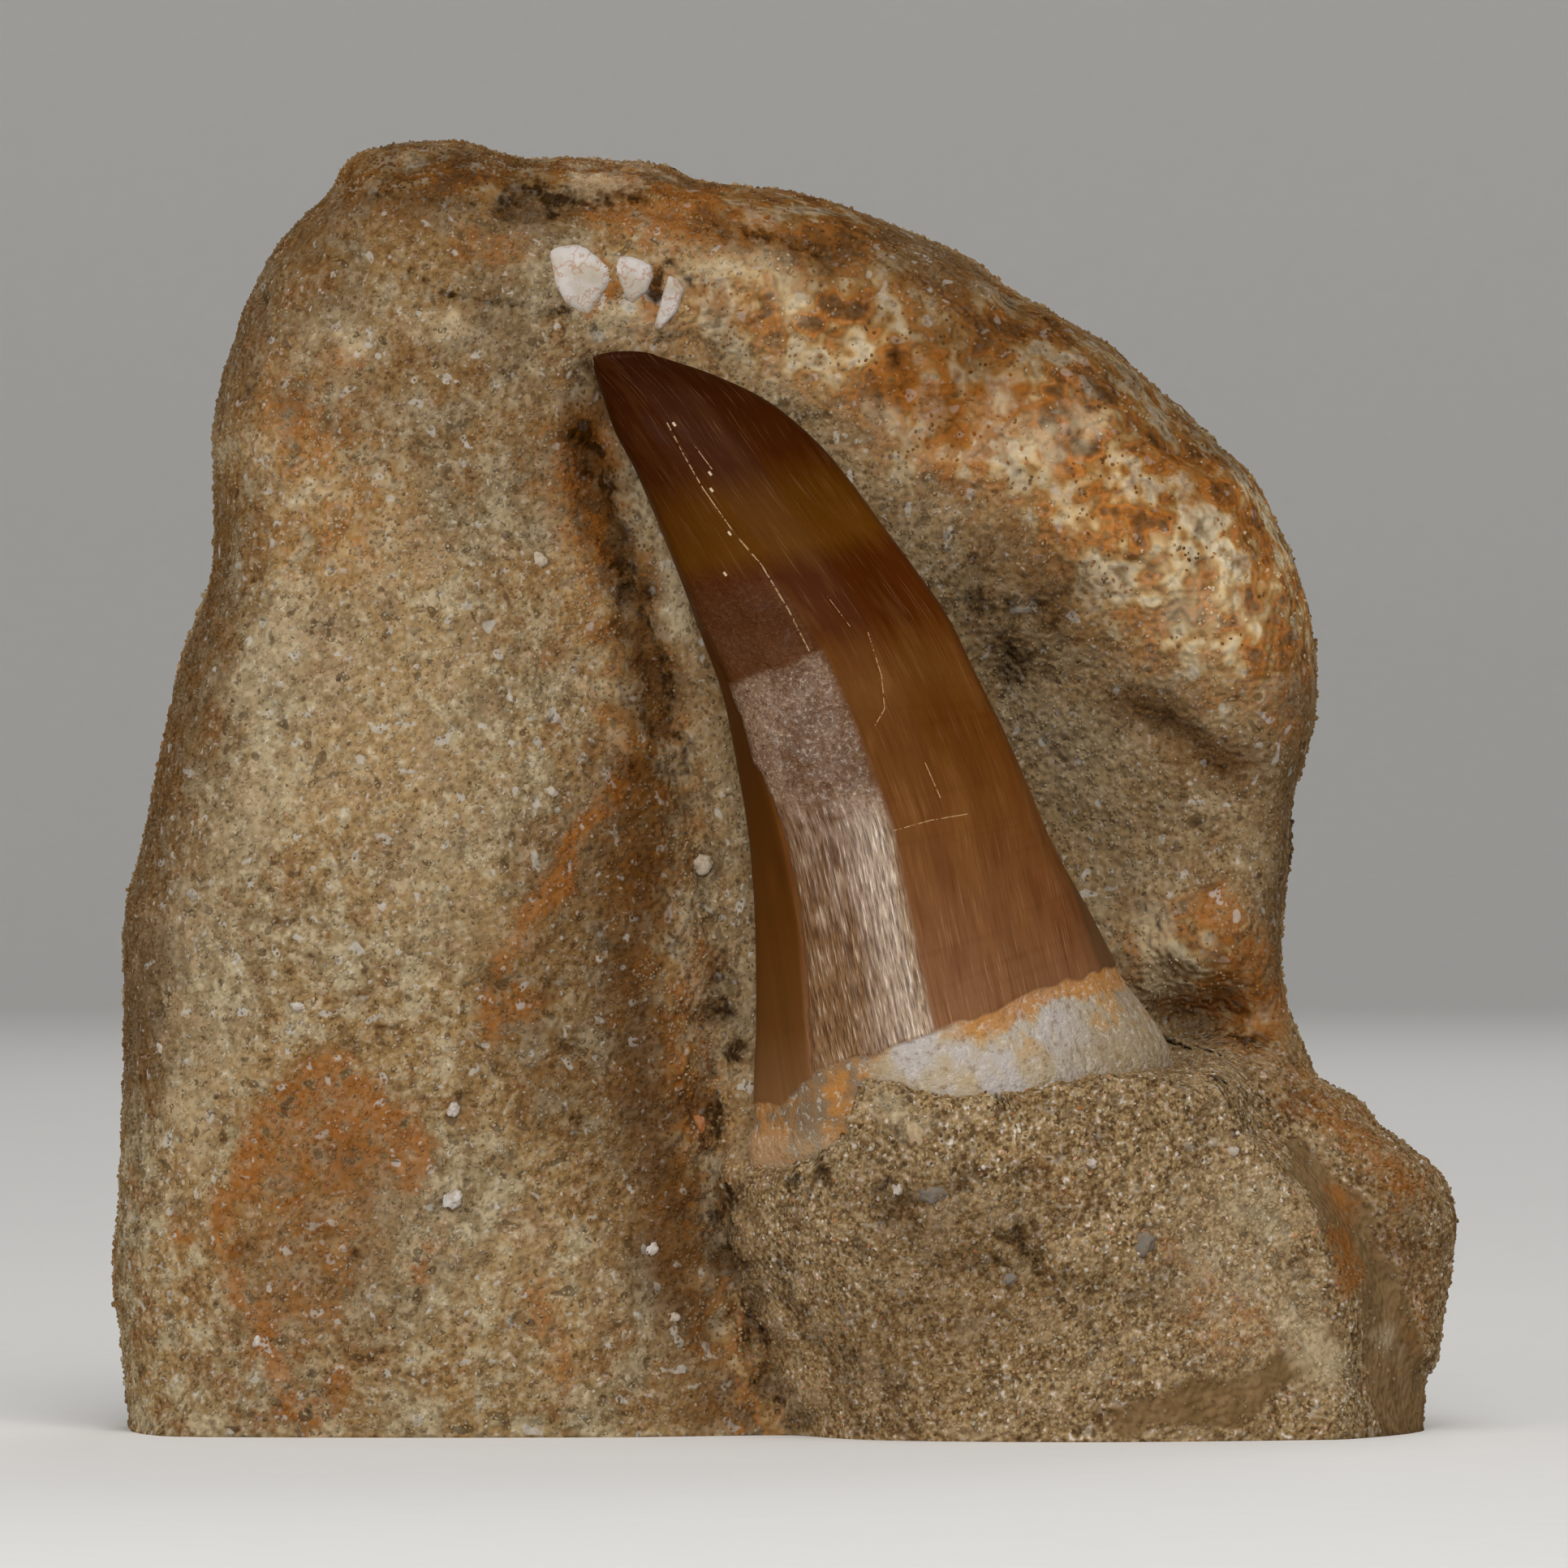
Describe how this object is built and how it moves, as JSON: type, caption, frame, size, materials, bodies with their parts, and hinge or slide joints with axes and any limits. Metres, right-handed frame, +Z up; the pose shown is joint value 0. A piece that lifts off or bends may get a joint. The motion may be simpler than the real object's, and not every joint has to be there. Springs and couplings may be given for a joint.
{
  "type": "fossil mosasaur tooth in matrix",
  "caption": "Curved, faceted fossil tooth standing in relief on a broken block of sandy stone, with its root held by a mound of sand.",
  "frame": {"origin": "middle of the flat base that the block stands on", "axes": "+Z up, -Y towards the front where the tooth shows, +X to the right seen from the front"},
  "size_m": [0.091, 0.0459, 0.0875],
  "materials": {
    "stone": "rough, granular sandstone",
    "tooth": "polished fossil enamel over a chalky root",
    "bone": "smooth pale fossil bone"
  },
  "bodies": {
    "root": {"stone_matrix": "stone", "tooth": "tooth", "bone_chip_left": "bone", "bone_chip_middle": "bone", "bone_chip_right": "bone"}
  },
  "joints": []
}
